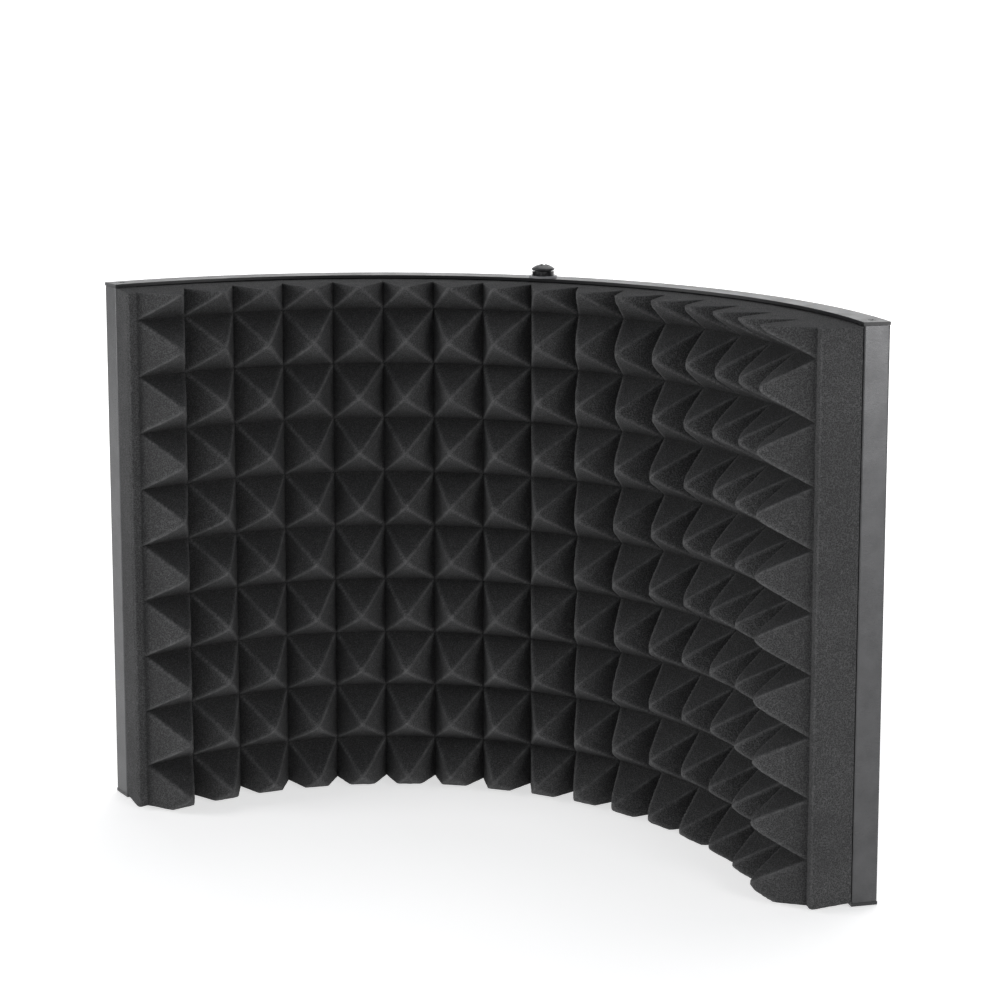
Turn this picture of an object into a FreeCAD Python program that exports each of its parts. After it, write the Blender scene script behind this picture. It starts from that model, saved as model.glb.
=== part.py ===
import FreeCAD, Part
import math
import os

import Sketcher
from FreeCAD import Placement, Rotation, Vector

# Microphone isolation shield.
# A curved frame of two L-section rims and two end rails carries a perforated back
# panel and a two-inch pyramid foam sheet. A slotted bar behind the panel carries a
# sliding clamp, a tilting arm and the threaded socket for a microphone stand.
#
# Frame of the part: +Z up, +X along the width, +Y out of the back.
# The origin is on the underside of the bottom rim, half way across its band at the
# middle of the arc, so the arc's own centre is at y = -(inner radius + half the depth).

doc = FreeCAD.newDocument("isolation_shield")
sheet = doc.addObject("Spreadsheet::Sheet", "sizes")

# Driving dimensions: millimetres and degrees.
SIZES = {
    # frame
    "inner_radius": 271.0,
    "frame_depth": 15.0,
    "half_angle": 56.5,
    "frame_height": 320.0,
    "rim_sheet": 1.8,
    "skirt_height": 13.0,
    "rail_width": 14.0,
    "rail_wall": 1.6,
    "rail_edge": 1.2,
    "joint_gap": 0.2,
    "block_height": 14.0,
    "block_setback": 1.0,
    # perforated panel and its rivets
    "panel_sheet": 1.0,
    "rivet_radius": 1.6,
    "rivet_head_radius": 3.2,
    "rivet_head_height": 1.1,
    "rivet_tail_radius": 2.6,
    "rivet_count": 8.0,
    "rivet_span": 45.0,
    # foam sheet
    "foam_base": 23.5,
    "pyramid_height": 27.3,
    "foam_pitch": 34.2,
    "foam_first_valley": 27.5,
    "foam_end_margin": 6.4,
    "foam_gap": 0.4,
    # screws
    "thread_gap": 0.05,
    "rim_screw_radius": 2.0,
    "rim_screw_head_radius": 3.9,
    "rim_screw_length": 10.0,
    "rim_recess_reach": 2.2,
    "rim_recess_depth": 1.2,
    "screw_end_gap": 1.0,
    "cap_screw_radius": 3.0,
    "cap_head_radius": 7.2,
    "cap_head_height": 4.4,
    "cap_dome": 3.74,
    "cap_lock_radius": 6.8,
    "cap_lock_height": 2.8,
    "cap_washer_radius": 8.6,
    "cap_washer_height": 1.2,
    "cap_screw_length": 22.0,
    "cap_recess_reach": 3.4,
    "cap_recess_depth": 2.4,
    "post_width": 12.0,
    "post_depth": 9.0,
    # slotted bar
    "bar_width": 22.0,
    "bar_sheet": 3.0,
    "bar_length": 210.0,
    "bar_standoff": 12.0,
    "slot_width": 8.4,
    "bar_end_margin": 8.0,
    "bar_corner": 4.95,
    "slot_end_margin": 20.0,
    "spacer_radius": 6.5,
    "bar_screw_radius": 2.5,
    "bar_screw_head_radius": 4.75,
    "bar_screw_head_height": 2.8,
    "bar_screw_dome": 2.2,
    "bar_screw_socket_radius": 1.75,
    "bar_screw_socket_depth": 1.7,
    # carriage and its clamp
    "carriage_width": 34.0,
    "carriage_height": 62.0,
    "carriage_plate": 8.0,
    "carriage_lip": 0.8,
    "carriage_edge": 2.0,
    "slide_gap": 0.3,
    "clamp_offset": 15.0,
    "bolt_radius": 4.0,
    "bolt_gap": 0.06,
    "bolt_tip": 1.5,
    "hex_head_radius": 7.4,
    "hex_head_height": 5.2,
    "clamp_head": 13.0,
    "clamp_head_height": 2.6,
    "washer_radius": 9.0,
    "washer_height": 1.2,
    "knob_radius": 15.0,
    "knob_length": 15.0,
    "knob_lobe_radius": 4.6,
    "knob_lobes": 7.0,
    "knob_hollow_reach": 17.1,
    "knob_rounding": 1.8,
    "insert_radius": 6.5,
    # tilt joint, arm and stand socket
    "pivot_drop": 15.0,
    "pivot_reach": 16.5,
    "ear_radius": 9.5,
    "tongue_width": 12.0,
    "friction_washer": 0.8,
    "friction_washer_radius": 9.0,
    "ear_width": 6.0,
    "fork_gap": 2.0,
    "socket_reach": 33.0,
    "socket_radius": 14.0,
    "socket_height": 36.0,
    "socket_drop": 20.0,
    "stand_thread_radius": 7.45,
    "stand_thread_length": 22.0,
    "thread_sleeve_radius": 10.5,
}
for row, (alias, number) in enumerate(SIZES.items(), start=1):
    sheet.set("A%d" % row, alias)
    sheet.set("B%d" % row, str(number))
    sheet.setAlias("B%d" % row, alias)
doc.recompute()

# Levels and radii that several pieces share, written once as expressions.
def size(name):
    return "sizes." + name


OUTER = "(sizes.inner_radius + sizes.frame_depth)"
MIDDLE = "(sizes.inner_radius + sizes.frame_depth / 2)"
HEIGHT = size("frame_height")
SHEET = size("rim_sheet")
PANEL_OUTER = "(%s - sizes.rim_sheet - sizes.joint_gap)" % OUTER
PANEL_INNER = "(%s - sizes.panel_sheet)" % PANEL_OUTER
BAR_FRONT = "(%s + sizes.bar_standoff)" % PANEL_OUTER
BAR_BACK = "(%s + sizes.bar_sheet)" % BAR_FRONT
PLATE_FRONT = "(%s + sizes.slide_gap)" % BAR_BACK
PLATE_BACK = "(%s + sizes.carriage_plate)" % PLATE_FRONT
MIDDLE_Z = "(sizes.frame_height / 2)"
CLAMP_Z = "(%s + sizes.clamp_offset)" % MIDDLE_Z
PIVOT_Z = "(%s - sizes.pivot_drop)" % MIDDLE_Z
PIVOT_Y = "(%s + sizes.pivot_reach)" % PLATE_BACK
SOCKET_Y = "(%s + sizes.socket_reach)" % PIVOT_Y
SOCKET_LOW = "(%s - sizes.socket_drop)" % PIVOT_Z
EAR_INNER = "(sizes.tongue_width / 2 + sizes.friction_washer + 2 * sizes.joint_gap)"
EAR_OUTER = "(%s + sizes.ear_width)" % EAR_INNER

nodes = []


def number(expression):
    """The present value of an expression, in millimetres or degrees."""
    return float(sheet.evalExpression(expression))


def finish_node(obj, label):
    """Name a sub-part and put it in the part's frame: the arc's centre is behind."""
    obj.Label = label
    obj.setExpression("Placement.Base.y", "-" + MIDDLE)
    nodes.append(obj)
    return obj


# ---------------------------------------------------------------- sketch helpers
def new_body(name):
    return doc.addObject("PartDesign::Body", name + "_body")


def plane(body, role):
    return next(feature for feature in body.Origin.OriginFeatures if feature.Role == role)


def sketch_on(body, role, name):
    sketch = body.newObject("Sketcher::SketchObject", name)
    sketch.AttachmentSupport = [(plane(body, role), "")]
    sketch.MapMode = "FlatFace"
    return sketch


def hold_point(sketch, geometry, end, axis, expression):
    """Tie one coordinate of a sketch point to an expression."""
    value = number(expression)
    if abs(value) < 1e-9 and expression == "0":
        sketch.addConstraint(Sketcher.Constraint("PointOnObject", geometry, end, -2 if axis == "X" else -1))
        return
    index = sketch.addConstraint(Sketcher.Constraint("Distance" + axis, -1, 1, geometry, end, value))
    sketch.setExpression("Constraints[%d]" % index, expression)


def outline(sketch, points):
    """A closed outline of straight edges whose corners are pairs of expressions."""
    corners = [Vector(number(across), number(up), 0) for across, up in points]
    count = len(corners)
    edges = [Part.LineSegment(corners[i], corners[(i + 1) % count]) for i in range(count)]
    first = sketch.addGeometry(edges, False)[0]
    for i in range(count):
        sketch.addConstraint(Sketcher.Constraint("Coincident", first + i, 2, first + (i + 1) % count, 1))
    for i, (across, up) in enumerate(points):
        hold_point(sketch, first + i, 1, "X", across)
        hold_point(sketch, first + i, 1, "Y", up)


def revolve(body, name, points, angle=None):
    """Turn an outline in the YZ plane about Z, through an angle either side of it."""
    sketch = sketch_on(body, "YZ_Plane", name + "_section")
    outline(sketch, points)
    feature = body.newObject("PartDesign::Revolution", name)
    feature.Profile = sketch
    feature.ReferenceAxis = (sketch, ["V_Axis"])
    feature.Angle = 360.0
    if angle:
        feature.Midplane = True
        feature.setExpression("Angle", angle)
    return feature


def pad(body, name, draw, length, start="0"):
    """Pad a sketch of the XY plane upwards from a level."""
    sketch = sketch_on(body, "XY_Plane", name + "_sketch")
    sketch.setExpression("AttachmentOffset.Base.z", start)
    draw(sketch)
    feature = body.newObject("PartDesign::Pad", name)
    feature.Profile = sketch
    feature.setExpression("Length", length)
    return feature


# ------------------------------------------------------------ primitive helpers
def bind(obj, bindings):
    for path, expression in bindings.items():
        obj.setExpression(path, expression)
    return obj


def block(name, low, high):
    """A box between two corners given as expressions."""
    obj = doc.addObject("Part::Box", name)
    for axis, side, start, end in zip("xyz", ("Length", "Width", "Height"), low, high):
        obj.setExpression(side, "(%s) - (%s)" % (end, start))
        obj.setExpression("Placement.Base." + axis, start)
    return obj


ALONG = {
    "Z": Rotation(),
    "X": Rotation(Vector(0, 1, 0), 90),
    "Y": Rotation(Vector(1, 0, 0), -90),
}


def rod(name, radius, length, start, axis):
    """A cylinder from a start point along +X, +Y or +Z."""
    obj = doc.addObject("Part::Cylinder", name)
    obj.Placement = Placement(Vector(), ALONG[axis])
    bind(obj, {"Radius": radius, "Height": length})
    bind(obj, dict(zip(("Placement.Base.x", "Placement.Base.y", "Placement.Base.z"), start)))
    return obj


def cut(name, base, *tools):
    tool = tools[0] if len(tools) == 1 else join(name + "_tools", *tools)
    obj = doc.addObject("Part::Cut", name)
    obj.Base = base
    obj.Tool = tool
    return obj


def join(name, *shapes):
    obj = doc.addObject("Part::MultiFuse", name)
    obj.Shapes = list(shapes)
    return obj


def ring(name, outer, inner, length, start, axis):
    """A washer, spacer or sleeve."""
    return cut(name, rod(name + "_disc", outer, length, start, axis),
               rod(name + "_bore", inner, length, start, axis))


def group(name, shapes):
    obj = doc.addObject("Part::Compound", name)
    obj.Links = shapes
    return obj


def rounded(name, base, radius, keep):
    """Round the straight edges of a solid that a test picks out."""
    doc.recompute()
    obj = doc.addObject("Part::Fillet", name)
    obj.Base = base
    obj.Edges = [(i, radius, radius) for i, edge in enumerate(base.Shape.Edges, start=1) if keep(edge)]
    return obj


def upright(edge):
    """True for an edge that runs parallel to Z."""
    ends = edge.Vertexes
    return len(ends) == 2 and abs(ends[0].Z - ends[1].Z) > 0.9 * edge.Length > 0


# ------------------------------------------------------------------------ frame
RAIL_ANGLE = "(asin((sizes.rail_width + sizes.joint_gap) / %s) / 1deg)" % OUTER
RAIL_MIDDLE = "((sizes.rail_width + sizes.rail_wall) / 2)"
RAIL_LOW = "(sizes.rim_sheet + sizes.joint_gap)"
RAIL_HIGH = "(sizes.frame_height - %s)" % RAIL_LOW
BLOCK_INNER = "(sizes.inner_radius + sizes.rail_wall + sizes.joint_gap)"
BLOCK_OUTER = "(sqrt(%s ^ 2 - sizes.rail_width ^ 2) - sizes.joint_gap)" % PANEL_INNER


def at_end(side, across, outward):
    """X and Y of a point near an end of the arc, from its end plane and the arc's centre."""
    turn = "sizes.half_angle * 1deg"
    across_x = "%d * (%s * sin(%s) - %s * cos(%s))" % (side, outward, turn, across, turn)
    along_y = "%s * cos(%s) + %s * sin(%s)" % (outward, turn, across, turn)
    return across_x, along_y


def turn_to_end(obj, side):
    """Swing a piece drawn at the middle of the arc round to one of its ends."""
    obj.Placement = Placement(Vector(), Rotation(Vector(0, 0, -side), 1.0))
    obj.setExpression("Placement.Rotation.Angle", "sizes.half_angle")
    return obj


def cross_recess(name, spot, low, high, reach):
    """Two crossed bars that cut a driver's recess between two levels."""
    bars = []
    for index, half in enumerate(((reach, reach + " / 4"), (reach + " / 4", reach))):
        bars.append(block("%s_bar%d" % (name, index),
                          ("%s - %s" % (spot[0], half[0]), "%s - %s" % (spot[1], half[1]), low),
                          ("%s + %s" % (spot[0], half[0]), "%s + %s" % (spot[1], half[1]), high)))
    return join(name, *bars)


def countersunk(name, spot, level, down, head, shank, length, gap="0"):
    """A countersunk screw, or with a gap the hole that it drops into."""
    centre_x, centre_y = spot
    depth = "(%s - %s)" % (head, shank)
    cone = doc.addObject("Part::Cone", name + "_head")
    bind(cone, {"Height": depth, "Radius1": shank + " + " + gap if down else head + " + " + gap,
                "Radius2": head + " + " + gap if down else shank + " + " + gap,
                "Placement.Base.x": centre_x, "Placement.Base.y": centre_y,
                "Placement.Base.z": level + " - " + depth if down else level})
    low = "%s - (%s)" % (level, length) if down else level + " + " + depth + " / 2"
    body = rod(name + "_shank", shank + " + " + gap, "%s - %s / 2" % (length, depth), (centre_x, centre_y, low), "Z")
    return join(name, cone, body)


def make_rim(label, top):
    """An L-section arc: a flat band, a skirt down or up its outer edge, and screw holes."""
    body = new_body(label)
    flat = (HEIGHT + " - " + SHEET, HEIGHT) if top else ("0", SHEET)
    skirt = (HEIGHT + " - sizes.skirt_height", flat[0]) if top else (flat[1], size("skirt_height"))
    revolve(body, label + "_band", [(size("inner_radius"), flat[0]), (OUTER, flat[0]),
                                    (OUTER, flat[1]), (size("inner_radius"), flat[1])],
            "2 * sizes.half_angle")
    inner = OUTER + " - " + SHEET
    revolve(body, label + "_skirt", [(inner, skirt[0]), (OUTER, skirt[0]), (OUTER, skirt[1]), (inner, skirt[1])],
            "2 * (sizes.half_angle - %s)" % RAIL_ANGLE)
    level = HEIGHT if top else "0"
    holes = [countersunk("%s_hole%d" % (label, side), at_end(side, RAIL_MIDDLE, MIDDLE), level, top,
                         size("rim_screw_head_radius"), size("rim_screw_radius"),
                         size("rim_screw_length"), size("thread_gap")) for side in (-1, 1)]
    if top:
        holes.append(rod(label + "_post_hole", "sizes.cap_screw_radius + sizes.thread_gap", SHEET + " * 3",
                         ("0", MIDDLE, "%s - 2 * %s" % (HEIGHT, SHEET)), "Z"))
    for index, angle in enumerate(rivet_angles()):
        holes.append(radial_rod("%s_rivet_hole%d" % (label, index), "sizes.rivet_radius", angle, rivet_level(top)))
    return finish_node(cut(label, body, *holes), label)


def rivet_angles():
    """The rivets' angles, evenly spaced either side of the slotted bar's middle line."""
    count = int(number("sizes.rivet_count"))
    return ["sizes.rivet_span * %g" % (2 * (i + 0.5) / count - 1) for i in range(count)]


def rivet_level(top):
    half_lap = "(sizes.rim_sheet + sizes.skirt_height) / 2"
    return "(sizes.frame_height - %s)" % half_lap if top else "(%s)" % half_lap


def radial_rod(name, radius, angle, level, start=None, length=None):
    """A cylinder that points out of the arc at an angle, by default right through the skirt."""
    start = start or "(%s - 2 * sizes.panel_sheet)" % PANEL_INNER
    length = length or "(2 * sizes.panel_sheet + sizes.frame_depth)"
    turn = "(%s) * 1deg" % angle
    obj = doc.addObject("Part::Cylinder", name)
    aim = Rotation(Vector(0, 0, 1), -number(angle)).multiply(ALONG["Y"])
    obj.Placement = Placement(Vector(), aim)
    return bind(obj, {"Radius": radius, "Height": length, "Placement.Base.z": level,
                      "Placement.Base.x": "%s * sin(%s)" % (start, turn),
                      "Placement.Base.y": "%s * cos(%s)" % (start, turn)})


def make_rivets(label, top):
    """Flat-headed blind rivets that hold the panel to a rim's skirt."""
    level = rivet_level(top)
    rivets = []
    for index, angle in enumerate(rivet_angles()):
        name = "%s_%d" % (label, index)
        shank = radial_rod(name + "_shank", "sizes.rivet_radius", angle, level,
                           "(%s - sizes.rivet_head_height)" % PANEL_INNER,
                           "(%s - %s + 1.5 * sizes.rivet_head_height)" % (OUTER, PANEL_INNER))
        head = radial_rod(name + "_head", "sizes.rivet_head_radius", angle, level, OUTER, "sizes.rivet_head_height")
        tail = radial_rod(name + "_tail", "sizes.rivet_tail_radius", angle, level,
                          "(%s - sizes.rivet_head_height)" % PANEL_INNER,
                          "sizes.rivet_head_height - sizes.thread_gap")
        rivets.append(join(name, shank, head, tail))
    return finish_node(group(label, rivets), label)


def make_rail(label, side):
    """A channel that closes one end of the frame and takes the panel's edge."""
    body = new_body(label)
    wide = "%d * sizes.rail_width" % -side
    web = "%d * sizes.rail_wall" % -side
    front = size("inner_radius")
    front_inner = front + " + sizes.rail_wall"
    back_inner = OUTER + " - sizes.rail_wall"
    points = [("0", front), ("0", OUTER), (wide, OUTER), (wide, back_inner),
              (web, back_inner), (web, front_inner), (wide, front_inner), (wide, front)]
    pad(body, label + "_channel", lambda sketch: outline(sketch, points), "%s - %s" % (RAIL_HIGH, RAIL_LOW), RAIL_LOW)
    edge = number("min(sizes.rail_edge; sizes.rail_wall * 0.9)")
    shape = rounded(label, body, edge, lambda e: upright(e) and abs(e.Vertexes[0].X) < 1e-6)
    return finish_node(turn_to_end(shape, side), label)


def make_corner_block(label, side, top):
    """A steel block inside the rail that the rim's screw is driven into."""
    near = "sizes.rail_wall + sizes.joint_gap"
    far = "sizes.rail_width - sizes.block_setback"
    across = ("-(%s)" % far, "-(%s)" % near) if side > 0 else (near, far)
    low = "%s - sizes.block_height" % RAIL_HIGH if top else RAIL_LOW
    solid = block(label + "_solid", (across[0], BLOCK_INNER, low),
                  (across[1], BLOCK_OUTER, low + " + sizes.block_height"))
    middle = "%d * %s" % (-side, RAIL_MIDDLE)
    bore = rod(label + "_bore", "sizes.rim_screw_radius + sizes.thread_gap", "sizes.block_height * 3",
               (middle, MIDDLE, low + " - sizes.block_height"), "Z")
    return finish_node(turn_to_end(cut(label, solid, bore), side), label)


def driven_screw(name, spot, top):
    """A flush countersunk screw with its cross recess."""
    level = HEIGHT if top else "0"
    whole = countersunk(name + "_whole", spot, level, top, size("rim_screw_head_radius"),
                        size("rim_screw_radius"), size("rim_screw_length") + " - sizes.screw_end_gap")
    deep = ("%s - sizes.rim_recess_depth" % level, level + " + 1") if top else ("-1", size("rim_recess_depth"))
    return cut(name, whole, cross_recess(name + "_recess", spot, deep[0], deep[1], size("rim_recess_reach")))


def make_rim_screws(label, top):
    screws = [driven_screw("%s_%s" % (label, hand), at_end(side, RAIL_MIDDLE, MIDDLE), top)
              for hand, side in (("left", -1), ("right", 1))]
    return finish_node(group(label, screws), label)


def make_panel():
    """The back panel: a rolled sheet between the rims whose ends stand in the rails."""
    body = new_body("back_panel")
    low = "sizes.rim_sheet + sizes.joint_gap"
    high = "%s - %s" % (HEIGHT, low.replace(" + ", " - "))
    end = "(asin(%s / %s) / 1deg)" % ("(sizes.rail_wall + 2 * sizes.joint_gap)", OUTER)
    revolve(body, "back_panel_sheet", [(PANEL_INNER, low), (PANEL_OUTER, low), (PANEL_OUTER, high),
                                       (PANEL_INNER, high)], "2 * (sizes.half_angle - %s)" % end)
    holes = [radial_rod("panel_rivet_hole%d_%d" % (top, i), "sizes.rivet_radius", angle, rivet_level(top))
             for top in (0, 1) for i, angle in enumerate(rivet_angles())]
    for index, level in enumerate(bar_screw_levels()):
        holes.append(rod("panel_bar_hole%d" % index, "sizes.bar_screw_radius + sizes.thread_gap",
                         "4 * sizes.panel_sheet", ("0", PANEL_INNER + " - sizes.panel_sheet", level), "Y"))
    return finish_node(cut("back_panel", body, *holes), "back_panel")


# ------------------------------------------------------------------- foam sheet
def foam_plan():
    """The foam's own arc: it lies on the panel at its middle and on the rails at its ends."""
    gap = number("sizes.foam_gap")
    middle = number(PANEL_INNER) - number("sizes.rivet_head_height") - gap
    rail = number("sizes.inner_radius") - gap
    rail_edge = math.radians(number("sizes.half_angle") - number(RAIL_ANGLE))
    end = math.radians(number("sizes.half_angle"))
    centre = (middle ** 2 - rail ** 2) / (2 * (middle - rail * math.cos(rail_edge)))
    back = middle - centre
    spread = end + math.asin(centre * math.sin(end) / back)
    return centre, back, spread


def foam_levels(low, high):
    """The valley levels that cut the sheet's height into rows, with its two cut edges."""
    pitch = number("sizes.foam_pitch")
    level = number("sizes.foam_first_valley")
    levels = []
    while level < high - 1e-6:
        if level > low + 1e-6:
            levels.append(level)
        level += pitch
    return [low] + levels + [high]


def polygon(points):
    return Part.Face(Part.makePolygon(points + points[:1]))


def make_foam():
    """One sheet of foam: a bent slab whose inner side is a grid of four-sided pyramids."""
    centre, back, spread = foam_plan()
    base = number("sizes.foam_base")
    tall = number("sizes.pyramid_height")
    pitch = number("sizes.foam_pitch")
    low = number("sizes.rim_sheet + sizes.foam_gap")
    high = number(HEIGHT) - low
    valley = back - base
    columns = round(2 * spread * back / pitch)
    step = 2 * spread / columns
    margin = number("sizes.foam_end_margin") / valley

    def plan(radius, angle):
        return Vector(radius * math.sin(angle), centre + radius * math.cos(angle), 0)

    angles = [-spread + step * k for k in range(columns + 1)]
    front = [plan(valley, a) for a in angles]
    rear = [plan(back, a) for a in angles]
    crease = [plan(valley, -spread - margin), plan(valley, spread + margin)]
    first_whole = number("sizes.foam_first_valley")
    levels = foam_levels(low, high)

    def lift(point, level):
        return Vector(point.x, point.y, level)

    faces = []
    low_edge = [lift(crease[0], low)]
    high_edge = [lift(crease[0], high)]
    for k in range(columns):
        left, right = front[k], front[k + 1]
        across = right - left
        inward = Vector(across.y, -across.x, 0).normalize()

        def spot(share, level, height, left=left, across=across, inward=inward):
            return lift(left + across * share + inward * height, level)

        for bottom, top in zip(levels[:-1], levels[1:]):
            whole_low = first_whole + pitch * round((bottom - first_whole) / pitch)
            if bottom == low:
                whole_low = top - pitch
            tip = spot(0.5, whole_low + pitch / 2, tall)
            start = (bottom - whole_low) / pitch
            stop = (top - whole_low) / pitch
            lower = [spot(0, bottom, 0), spot(1, bottom, 0)]
            upper = [spot(0, top, 0), spot(1, top, 0)]
            if start > 1e-6 and start < 0.5:
                lower = [lower[0], spot(start, bottom, 2 * tall * start),
                         spot(1 - start, bottom, 2 * tall * start), lower[1]]
            if stop < 1 - 1e-6 and stop > 0.5:
                rest = 1 - stop
                upper = [upper[0], spot(rest, top, 2 * tall * rest), spot(1 - rest, top, 2 * tall * rest), upper[1]]
            faces.append(polygon([lower[0], *lower[1:-1][:1], tip, *upper[1:-1][:1], upper[0]]))
            faces.append(polygon([lower[-1], upper[-1], *upper[1:-1][-1:], tip, *lower[1:-1][-1:]]))
            faces.append(polygon(lower[1:-1] + [tip] if len(lower) > 2 else lower + [tip]))
            faces.append(polygon([tip] + (upper[1:-1] if len(upper) > 2 else upper)[::-1]))
            if bottom == low:
                low_edge += lower
            if top == high:
                high_edge += upper
        faces.append(polygon([lift(rear[k], low), lift(rear[k], high),
                              lift(rear[k + 1], high), lift(rear[k + 1], low)]))
    low_edge.append(lift(crease[1], low))
    high_edge.append(lift(crease[1], high))
    for side, corner in ((0, 0), (1, -1)):
        strip = [lift(front[corner], level) for level in levels]
        faces.append(polygon(strip + [lift(crease[side], high), lift(crease[side], low)]))
        faces.append(polygon([lift(crease[side], low), lift(crease[side], high),
                              lift(rear[corner], high), lift(rear[corner], low)]))
    for level, edge in ((low, low_edge), (high, high_edge)):
        trimmed = [point for i, point in enumerate(edge) if i == 0 or (point - edge[i - 1]).Length > 1e-6]
        faces.append(polygon(trimmed + [lift(point, level) for point in reversed(rear)]))
    shell = Part.makeShell(faces)
    solid = Part.makeSolid(shell)
    if solid.Volume < 0:
        solid.reverse()
    sheet_of_foam = doc.addObject("Part::Feature", "foam_sheet_whole")
    sheet_of_foam.Shape = solid
    groove = block("foam_groove", ("-sizes.post_width / 2 - sizes.foam_gap", POST_FRONT + " - sizes.foam_gap", "-1"),
                   ("sizes.post_width / 2 + sizes.foam_gap", OUTER, HEIGHT + " + 1"))
    return finish_node(cut("acoustic_foam", sheet_of_foam, groove), "acoustic_foam")


# --------------------------------------------------------- centre post and cap
POST_BACK = "(%s - sizes.joint_gap)" % PANEL_INNER
POST_FRONT = "(%s - sizes.post_depth)" % POST_BACK


def bar_screw_levels():
    """Heights of the two screws that hold the slotted bar to the centre post."""
    reach = "(sizes.bar_length / 2 - sizes.bar_end_margin)"
    return ["(%s - %s)" % (MIDDLE_Z, reach), "(%s + %s)" % (MIDDLE_Z, reach)]


def make_post():
    """The post behind the foam: the cap screw threads into it, and the bar's screws hold it to the panel."""
    solid = block("centre_post_solid", ("-sizes.post_width / 2", POST_FRONT, RAIL_LOW),
                  ("sizes.post_width / 2", POST_BACK, RAIL_HIGH))
    bores = [rod("post_top_bore", "sizes.cap_screw_radius + sizes.thread_gap", "sizes.cap_screw_length",
                 ("0", MIDDLE, "%s - sizes.cap_screw_length" % HEIGHT), "Z")]
    for index, level in enumerate(bar_screw_levels()):
        bores.append(rod("post_bar_bore%d" % index, "sizes.bar_screw_radius + sizes.thread_gap",
                         "sizes.frame_depth", ("0", POST_FRONT + " - 1", level), "Y"))
    return finish_node(cut("centre_post", solid, *bores), "centre_post")


CAP_WASHER_TOP = "(%s + sizes.cap_washer_height)" % HEIGHT
CAP_LOCK_TOP = "(%s + sizes.cap_lock_height)" % CAP_WASHER_TOP


def make_cap_fastener():
    """The cross-recessed dome screw on top, with its lock washer and flat washer."""
    bore = "sizes.cap_screw_radius + sizes.thread_gap"
    finish_node(ring("cap_washer", "sizes.cap_washer_radius", bore, "sizes.cap_washer_height",
                     ("0", MIDDLE, HEIGHT), "Z"), "cap_washer")
    finish_node(ring("cap_lock_washer", "sizes.cap_lock_radius", bore, "sizes.cap_lock_height",
                     ("0", MIDDLE, CAP_WASHER_TOP), "Z"), "cap_lock_washer")
    head = rod("cap_head", "sizes.cap_head_radius", "sizes.cap_head_height", ("0", MIDDLE, CAP_LOCK_TOP), "Z")
    dome = number("min(sizes.cap_dome; sizes.cap_head_height * 0.95; sizes.cap_head_radius * 0.95)")
    top = number(CAP_LOCK_TOP + " + sizes.cap_head_height")
    head = rounded("cap_dome", head, dome,
                   lambda e: len(e.Vertexes) == 1 and abs(e.Vertexes[0].Z - top) < 1e-6)
    shank = rod("cap_shank", "sizes.cap_screw_radius",
                "sizes.cap_screw_length - sizes.screw_end_gap + sizes.cap_washer_height + sizes.cap_lock_height",
                ("0", MIDDLE, "%s - sizes.cap_screw_length + sizes.screw_end_gap" % HEIGHT), "Z")
    crown = CAP_LOCK_TOP + " + sizes.cap_head_height"
    recess = cross_recess("cap_recess", ("0", MIDDLE), crown + " - sizes.cap_recess_depth", crown + " + 1",
                          size("cap_recess_reach"))
    finish_node(cut("cap_screw", join("cap_screw_whole", head, shank), recess), "cap_screw")


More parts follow.
